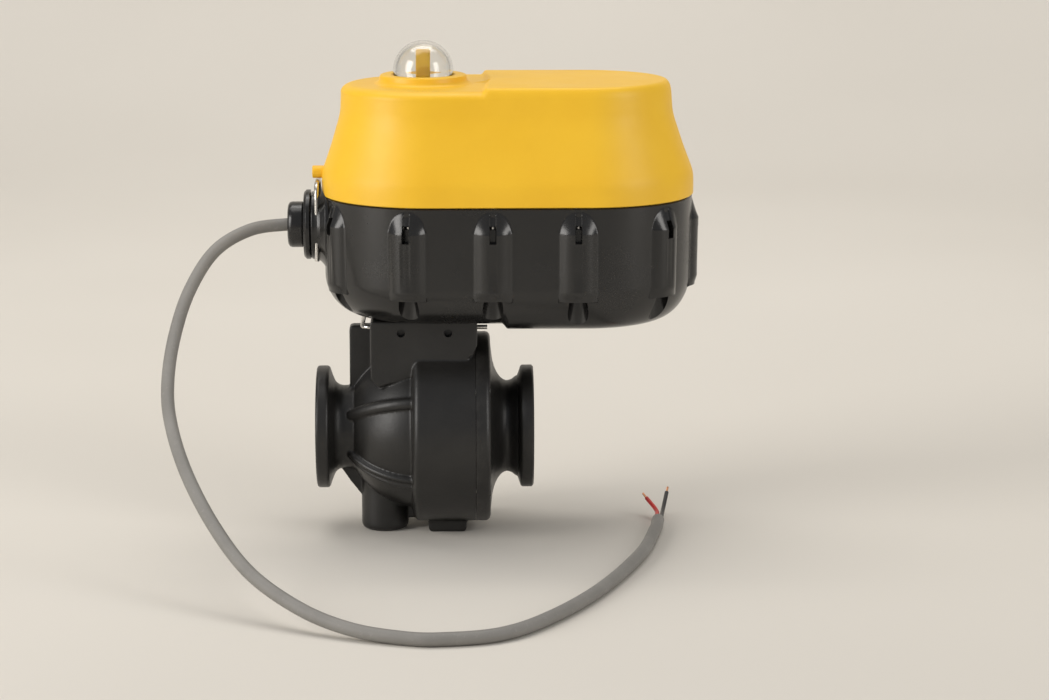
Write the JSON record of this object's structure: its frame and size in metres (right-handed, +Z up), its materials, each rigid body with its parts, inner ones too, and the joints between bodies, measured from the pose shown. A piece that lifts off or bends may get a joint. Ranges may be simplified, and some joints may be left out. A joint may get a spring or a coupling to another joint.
{
  "type": "motorised ball valve",
  "caption": "Electric quarter-turn ball valve: black moulded body with a clamp flange at each end, geared actuator with a yellow cover and clear position window, and a short supply cable.",
  "frame": {"origin": "centre of the inlet flange's outer face, on the flow axis", "axes": "+X along the flow towards the outlet flange, +Z up the stem towards the actuator, -Y towards the front; the stem axis is at X = 54 mm"},
  "size_m": [0.2609, 0.2693, 0.2456],
  "materials": {
    "valve_plastic": "black glass-filled moulding, fine grain",
    "housing_plastic": "black housing, semi-gloss",
    "cover_plastic": "yellow moulded cover, matte",
    "window": "clear moulded plastic window",
    "steel": "stainless steel",
    "brass": "cut gears",
    "alloy": "plate",
    "seat": "white seat polymer",
    "rubber": "black seals",
    "bronze": "plain bearing",
    "board": "printed circuit board",
    "switch": "switch case",
    "jacket": "grey cable jacket",
    "core_red": "red core insulation",
    "core_black": "black core insulation",
    "core_white": "white core insulation",
    "copper": "bare copper strands"
  },
  "bodies": {
    "housing": {"valve_body": "valve_plastic", "end_cap": "valve_plastic", "seat_inlet": "seat", "seat_outlet": "seat", "stem_seal_lower": "rubber", "stem_seal_upper": "rubber", "body_seal": "rubber", "actuator_clip": "steel", "actuator_base": "housing_plastic", "actuator_cover": "cover_plastic", "housing_gasket": "rubber", "indicator_window": "window", "shaft_seal": "rubber", "lower_bush": "bronze", "upper_bush": "bronze", "idler_axle": "steel", "gear_motor": "steel", "gear_plate": "alloy", "limit_switch_closed": "switch", "limit_switch_open": "switch", "circuit_board": "board", "gland_body": "housing_plastic", "gland_nut": "housing_plastic", "cable_seal": "rubber", "gland_clip": "steel", "supply_cable": "jacket", "core_red": "core_red", "core_black": "core_black", "core_white": "core_white", "strand_red": "copper", "strand_black": "copper", "strand_white": "copper", "cover_screw_01": "steel", "cover_screw_02": "steel", "cover_screw_03": "steel", "cover_screw_04": "steel", "cover_screw_05": "steel", "cover_screw_06": "steel", "cover_screw_07": "steel", "cover_screw_08": "steel", "cover_screw_09": "steel", "cover_screw_10": "steel", "cover_screw_11": "steel", "plate_screw_1": "steel", "plate_screw_2": "steel", "plate_screw_3": "steel", "plate_screw_4": "steel", "end_cap_screw_1": "steel", "end_cap_screw_2": "steel", "end_cap_screw_3": "steel", "end_cap_screw_4": "steel"},
    "closure": {"output_shaft": "steel", "output_gear": "brass", "switch_cam": "seat", "position_indicator": "cover_plastic", "stem": "steel", "ball": "steel"},
    "idler": {"idler_gear": "brass"},
    "pinion": {"motor_pinion": "steel"}
  },
  "joints": [
    {"name": "valve_turn", "type": "hinge", "parent": "housing", "child": "closure", "pos_m": [0.054, 0, 0], "axis": [0, 0, 1], "range_deg": [0, 90]},
    {"name": "idler_turn", "type": "hinge", "parent": "housing", "child": "idler", "pos_m": [0.0915, 0, 0.075], "axis": [0, 0, 1], "range_deg": [-360, 0]},
    {"name": "motor_turn", "type": "hinge", "parent": "housing", "child": "pinion", "pos_m": [0.1165, 0, 0.085], "axis": [0, 0, 1], "range_deg": [0, 1440]}
  ],
  "couplings": [
    {"joint": "idler_turn", "follows": "valve_turn", "ratio": -4},
    {"joint": "motor_turn", "follows": "valve_turn", "ratio": 16}
  ]
}
